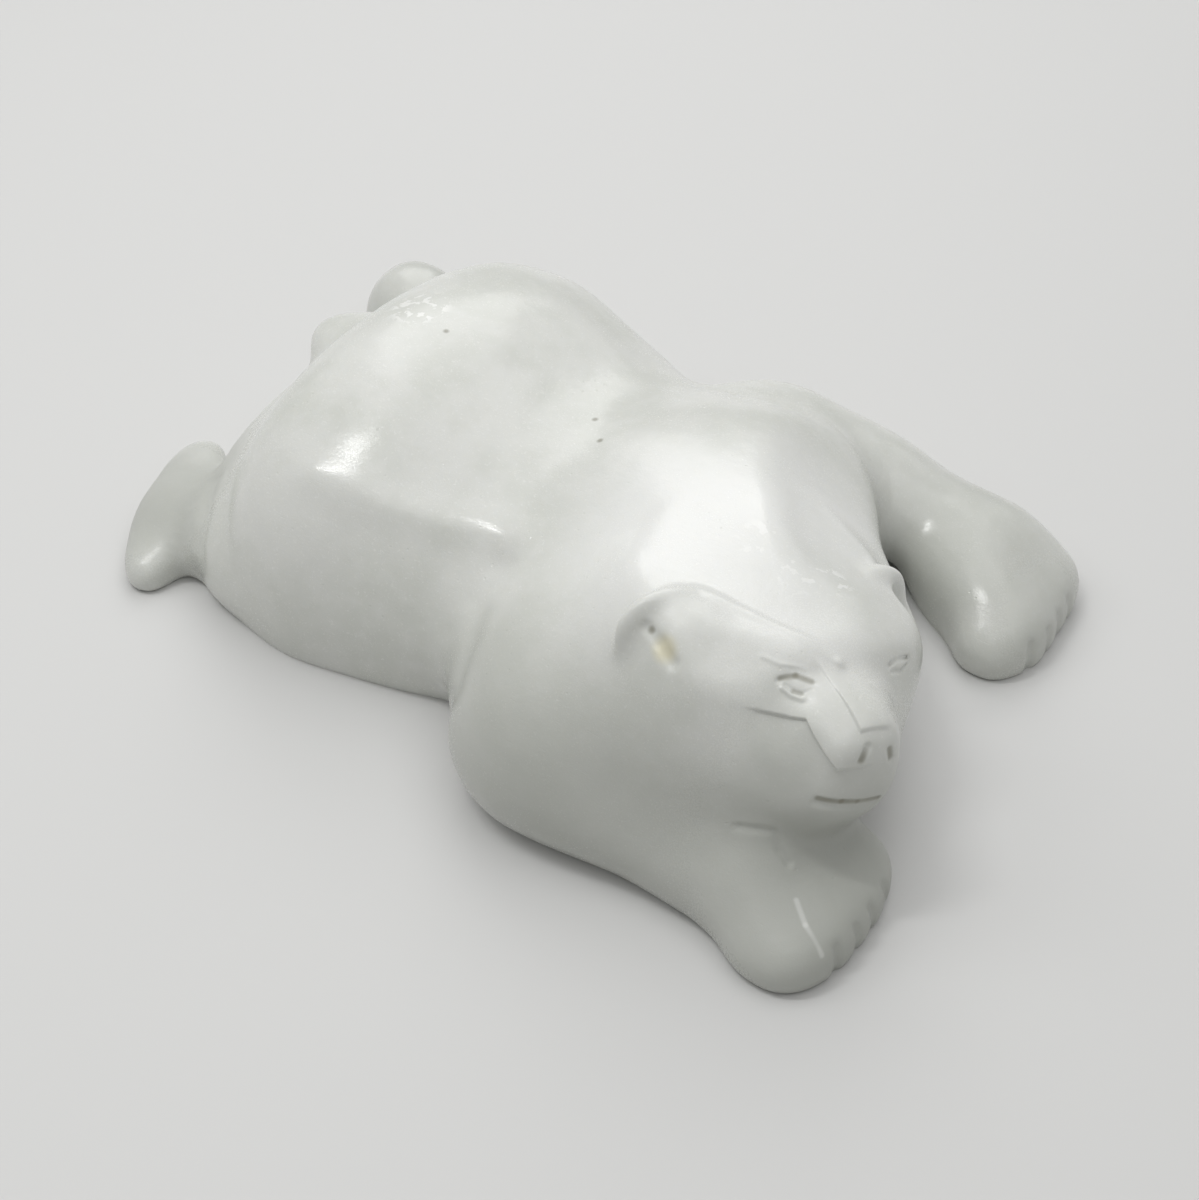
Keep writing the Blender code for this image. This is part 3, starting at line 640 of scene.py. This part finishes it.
class Recipe:
    """A material and the one way of adding nodes to it."""

    def __init__(self, name):
        self.material = bpy.data.materials.new(name)
        self.material.use_nodes = True
        self.tree = self.material.node_tree
        self.shader = self.tree.nodes["Principled BSDF"]

    def feed(self, socket, value):
        if isinstance(value, Wire):
            self.tree.links.new(value.socket, socket)
        else:
            socket.default_value = value

    def node(self, kind, settings, *values, out=0, **named):
        made = self.tree.nodes.new(kind)
        for name, value in settings.items():
            if name == "stops":
                for number, (place, colour) in enumerate(value):
                    stop = made.color_ramp.elements[number] if number < 2 else made.color_ramp.elements.new(place)
                    stop.position = place
                    stop.color = colour
            else:
                setattr(made, name, value)
        for socket, value in zip(made.inputs, values):
            self.feed(socket, value)
        for name, value in named.items():
            self.feed(made.inputs[name.replace("_", " ")], value)
        return Wire(self, made.outputs[out])

    def noise(self, place, scale, detail=2.0, rough=0.5):
        return self.node("ShaderNodeTexNoise", {}, Vector=place, Scale=scale, Detail=detail, Roughness=rough)

    def rise(self, value, low, high, to_low=0.0, to_high=1.0):
        """A smooth step of a value between two levels."""
        return self.node("ShaderNodeMapRange", {"interpolation_type": "SMOOTHSTEP"}, value, low, high, to_low, to_high)

    def blend(self, share, first, second):
        """Mix two colours by a share."""
        made = self.tree.nodes.new("ShaderNodeMix")
        made.data_type = "RGBA"
        for number, value in ((0, share), (6, first), (7, second)):
            self.feed(made.inputs[number], value)
        return Wire(self, made.outputs[2])

    def near(self, place, point, radius, core=0.25):
        """A soft spot, 1 in its core and 0 from its radius outwards."""
        away = self.node("ShaderNodeVectorMath", {"operation": "DISTANCE"}, place, tuple(point), out=1)
        return self.rise(away, radius, radius * core, 0.0, 1.0)

    def along(self, place, start, end, radius):
        """A soft line, 1 on the straight way between two places."""
        span = Vector(end) - Vector(start)
        away = self.node("ShaderNodeVectorMath", {"operation": "SUBTRACT"}, place, tuple(start))
        reach = self.node("ShaderNodeVectorMath", {"operation": "DOT_PRODUCT"}, away, tuple(span / span.length_squared), out=1)
        share = self.node("ShaderNodeClamp", {}, reach, 0.0, 1.0)
        foot = self.node("ShaderNodeVectorMath", {"operation": "SCALE"}, tuple(span), Scale=share)
        gap = self.node("ShaderNodeVectorMath", {"operation": "DISTANCE"}, away, foot, out=1)
        return self.rise(gap, radius, radius * 0.2, 0.0, 1.0)


# %% [markdown]
# ## The stone
# White soapstone is talc with other minerals, and it isn't one white. Large pale clouds lie in a slightly
# greenish grey ground, with fine pale flecks and a few faint veins. The polish is a soft satin, broken by
# tiny pits and scratches that show as sparkle in the highlights. The stone lets a little light in, so a small
# amount of subsurface scatter, set as a constant, softens the shadows. The thin cup of the ear looks warmer.

# %% White soapstone
GROUND = (0.600, 0.612, 0.570, 1.0)
CLOUD = (0.665, 0.672, 0.640, 1.0)
CHIP = (0.800, 0.805, 0.780, 1.0)
DUSK = (0.540, 0.550, 0.495, 1.0)
WARM = (0.640, 0.600, 0.420, 1.0)
SHEEN_WHITE = (0.790, 0.795, 0.775, 1.0)
SHADE_GREY = (0.400, 0.410, 0.375, 1.0)
# Painted sheen whitens the neck and shoulders, and painted shade greys the feet, the lower flanks and the corner under
# the head. Each row is a place and a radius in millimetres, and how far the colour goes over.
PAINTED_SHEEN_PLACES = (((44, -20, 50), 40, 0.85), ((62, 14, 46), 32, 0.6), ((74, -30, 54), 22, 0.5))
PAINTED_SHADE_PLACES = (
    ((104, -54, 8), 46, 0.95), ((98, 44, 12), 30, 0.45), ((-95, -40, 14), 36, 0.75), ((-96, 60, 8), 26, 0.4),
    ((56, -70, 16), 44, 0.75), ((20, -66, 24), 36, 0.6), ((92, -32, 26), 18, 0.45), ((70, 52, 12), 34, 0.5),
)
# Handling has dulled the polish on the paw, the hind foot and the brow.
MATT_PLACES = (((104, -54, 20), 44, 0.24), ((-95, -40, 18), 34, 0.24), ((106, 46, 10), 24, 0.16))
MATT_ON_HEAD = (((7, -29, -4), 16, 0.22), ((24, -8, -4), 26, 0.08))

# A dark colour for the hollows, and painted shade along the deepest cuts: nostrils, mouth and eyelids. Each row is a
# start, an end, a radius and a share.
HOLLOW_DARK = (0.200, 0.190, 0.140, 1.0)
CUT_SHADE_LINES = (
    ((41.9, -1.3, -9.4), (42.0, -2.0, -11.4), 1.2, 0.75), ((41.5, 4.8, -10.2), (41.4, 5.6, -12.2), 1.1, 0.7),
    ((40.4, -8.5, -20.8), (41.9, -3.8, -21.0), 1.0, 0.7), ((41.9, -3.8, -21.0), (41.9, 0.1, -21.5), 1.1, 0.7),
    ((41.9, 0.1, -21.5), (41.2, 5.7, -22.2), 1.1, 0.7),
    ((24.0, -12.2, -3.0), (24.9, -9.4, -2.3), 1.05, 0.65), ((24.9, -9.4, -2.3), (27.0, -6.9, -2.6), 1.05, 0.65),
    ((27.0, -10.6, -4.4), (28.0, -9.4, -4.5), 0.9, 0.45),
    ((23.6, 14.4, -3.9), (21.2, 20.6, -4.9), 1.0, 0.5),
)
PITS = ((-35.7, -0.6, 57.1), (4.7, 2.1, 47.6), (10.8, -4.6, 48.6))
CHIPPED = (((73.4, -23.1, 55.2), 7.0), ((78.3, -19.0, 52.6), 6.0), ((62.3, -20.8, 57.3), 7.0), ((-47.0, 4.0, 55.0), 9.0))
VEIN = (((101.5, -66.2, 13.8), (105.5, -69.2, 12.0)), ((105.5, -69.2, 12.0), (110.9, -71.4, 8.7)))

soap = Recipe("white_soapstone_polished")
spot = soap.node("ShaderNodeTexCoord", {}, out=3)
clouds = soap.rise(soap.noise(spot, 38.0, 4.0, 0.55), 0.38, 0.64)
mottle = soap.rise(soap.noise(spot, 210.0, 3.0, 0.6), 0.45, 0.72)
flecks = soap.rise(soap.noise(spot, 1500.0, 2.0, 0.5), 0.60, 0.74)
dusk = soap.rise(soap.noise(spot, 75.0, 5.0, 0.6), 0.56, 0.74)
colour = soap.blend(clouds, GROUND, CLOUD)
colour = soap.blend(0.45 * mottle, colour, CLOUD)
colour = soap.blend(0.30 * dusk, colour, DUSK)
colour = soap.blend(0.35 * flecks, colour, CHIP)
# Painted sheen: the neck and shoulders are whitened where the gloss is brightest.
for place, radius, share in PAINTED_SHEEN_PLACES:
    colour = soap.blend(share * soap.near(spot, Vector(place) * MM, radius * MM), colour, SHEEN_WHITE)
# Painted shade: the feet, the lower flanks and the corner under the head are greyed.
for place, radius, share in PAINTED_SHADE_PLACES:
    colour = soap.blend(share * soap.near(spot, Vector(place) * MM, radius * MM), colour, SHADE_GREY)
# Painted shade on the near cheek and in the hollows of both ears, and a warmer tint in the cup of the near ear.
for place, radius, share, tint in (
    ((34.0, -14.5, -14.0), 11.0, 0.40, SHADE_GREY), ((8.4, -29.4, -4.4), 4.0, 0.75, WARM), ((3.9, -30.6, -2.7), 1.3, 0.75, HOLLOW_DARK), ((0.8, 29.4, -3.3), 1.4, 0.75, HOLLOW_DARK)
):
    colour = soap.blend(share * soap.near(spot, head_to_frame(*place), radius * MM), colour, tint)
# Painted shade along the deepest cuts of the face.
for start, end, radius, share in CUT_SHADE_LINES:
    line = soap.along(spot, head_to_frame(*start), head_to_frame(*end), radius * MM)
    colour = soap.blend(share * line, colour, HOLLOW_DARK)
# Small dark spots where the back has pits.
for place in PITS:
    pit = soap.near(spot, Vector(place) * MM - Vector(SHIFT_TO_CARVER), 0.0011)
    colour = soap.blend(0.7 * pit, colour, HOLLOW_DARK)
for place, radius in CHIPPED:
    patch = soap.near(spot, Vector(place) * MM - Vector(SHIFT_TO_CARVER), radius * MM, 0.6)
    torn = soap.rise(soap.noise(spot, 330.0, 3.0, 0.6), 0.54, 0.58)
    colour = soap.blend(0.8 * (patch * torn), colour, CHIP)
for start, end in VEIN:
    line = soap.along(spot, Vector(start) * MM - Vector(SHIFT_TO_CARVER), Vector(end) * MM - Vector(SHIFT_TO_CARVER), 0.0009)
    colour = soap.blend(0.35 * line, colour, CHIP)
print("stone colours mixed:", 10)

# %% [markdown]
# The finish is settled in two parts. Roughness varies with the same noise that a polishing cloth leaves, and
# a Bump node adds what is too small to model: pits, fine scratches and a faint orange-peel. All of it is
# tied to the object, so it stays on the stone from any view.

# %% Polish, pits and scratches
worn = soap.noise(spot, 120.0, 4.0, 0.6)
grain = soap.noise(spot, 2600.0, 2.0, 0.6)
roughness = 0.11 + 0.14 * worn + 0.10 * soap.rise(grain, 0.45, 0.7)
for place, radius, share in MATT_PLACES:
    roughness = roughness + share * soap.near(spot, Vector(place) * MM, radius * MM)
for place, radius, share in MATT_ON_HEAD:
    roughness = roughness + share * soap.near(spot, head_to_frame(*place), radius * MM)
pits = soap.node("ShaderNodeTexVoronoi", {"feature": "F1"}, Vector=spot, Scale=420.0)
pit_mask = soap.rise(pits, 0.16, 0.05) * soap.rise(soap.noise(spot, 90.0, 2.0), 0.52, 0.62)
stretched = soap.node("ShaderNodeMapping", {}, spot, (0.0, 0.0, 0.0), (0.3, 0.2, 0.5), (1.0, 14.0, 14.0))
scratches = soap.rise(soap.noise(stretched, 170.0, 3.0, 0.6), 0.62, 0.72)
height = grain * 0.35 - 1.0 * pit_mask - 0.25 * scratches + 0.8 * soap.noise(spot, 500.0, 3.0, 0.55)
bump = soap.node("ShaderNodeBump", {}, Height=height, Strength=0.28, Distance=0.00022)

soap.feed(soap.shader.inputs["Base Color"], colour)
soap.feed(soap.shader.inputs["Roughness"], roughness)
soap.feed(soap.shader.inputs["Normal"], bump)
soap.shader.inputs["Metallic"].default_value = 0.0
soap.shader.inputs["IOR"].default_value = 1.54
soap.shader.inputs["Subsurface Weight"].default_value = 0.10
soap.shader.inputs["Subsurface Radius"].default_value = (1.0, 0.9, 0.7)
soap.shader.inputs["Subsurface Scale"].default_value = 0.0015
even.materials.clear()
even.materials.append(soap.material)
print("nodes in the stone:", len(soap.tree.nodes))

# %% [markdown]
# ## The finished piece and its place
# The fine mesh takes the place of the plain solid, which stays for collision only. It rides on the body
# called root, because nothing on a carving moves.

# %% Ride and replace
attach(stone, "root")
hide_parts("polar_bear")
print("dressed:", stone.name)

# %% [markdown]
# ## Floor and light
# A plain pale floor and soft studio light. The main light is broad and high, behind the bear's tail, so
# the back and the forehead are bright and the flank, cheek and front of the head fall into soft shade. A
# wide, weak light from above and a pale room keep the shadows open.

# %% Floor
FLOOR_COLOUR = (0.62, 0.62, 0.61, 1.0)

floor_mesh = bmesh.new()
bmesh.ops.create_grid(floor_mesh, x_segments=4, y_segments=4, size=3.0)
floor_data = bpy.data.meshes.new("floor")
floor_mesh.to_mesh(floor_data)
floor_mesh.free()
floor = bpy.data.objects.new("floor", floor_data)
bpy.context.scene.collection.objects.link(floor)
floor_recipe = Recipe("pale_floor")
floor_recipe.shader.inputs["Base Color"].default_value = FLOOR_COLOUR
floor_recipe.shader.inputs["Roughness"].default_value = 0.6
floor_data.materials.append(floor_recipe.material)

# %% Lights
LIGHTS = (
    ("main", (-0.62, -0.30, 0.73), (0.42, 0.42), 1.15),
    ("above", (0.10, 0.10, 1.40), (1.50, 1.50), 7.9),
    ("sheen", (-0.50, 0.72, 0.82), (0.75, 0.75), 3.2),
    ("lamp", (-0.28, -0.24, 0.98), (0.035, 0.34), 1.8),
    ("side", (-0.20, 0.95, 0.60), (0.60, 0.60), 0.5),
)
ROOM_STRENGTH = 0.40

for name, place, size, power in LIGHTS:
    light_data = bpy.data.lights.new(name, "AREA")
    light_data.shape = "RECTANGLE"
    light_data.size, light_data.size_y = size
    light_data.energy = power
    light = bpy.data.objects.new(name, light_data)
    bpy.context.scene.collection.objects.link(light)
    aim(light, Vector(place), Vector((0.0, 0.0, 0.02)))
    light.visible_glossy = name != "main"

room = bpy.data.worlds.new("room")
room.use_nodes = True
room.node_tree.nodes["Background"].inputs["Color"].default_value = (1.0, 1.0, 1.0, 1.0)
room.node_tree.nodes["Background"].inputs["Strength"].default_value = ROOM_STRENGTH
bpy.context.scene.world = room
bpy.context.scene.view_settings.view_transform = "Standard"
print("lights:", [row[0] for row in LIGHTS])
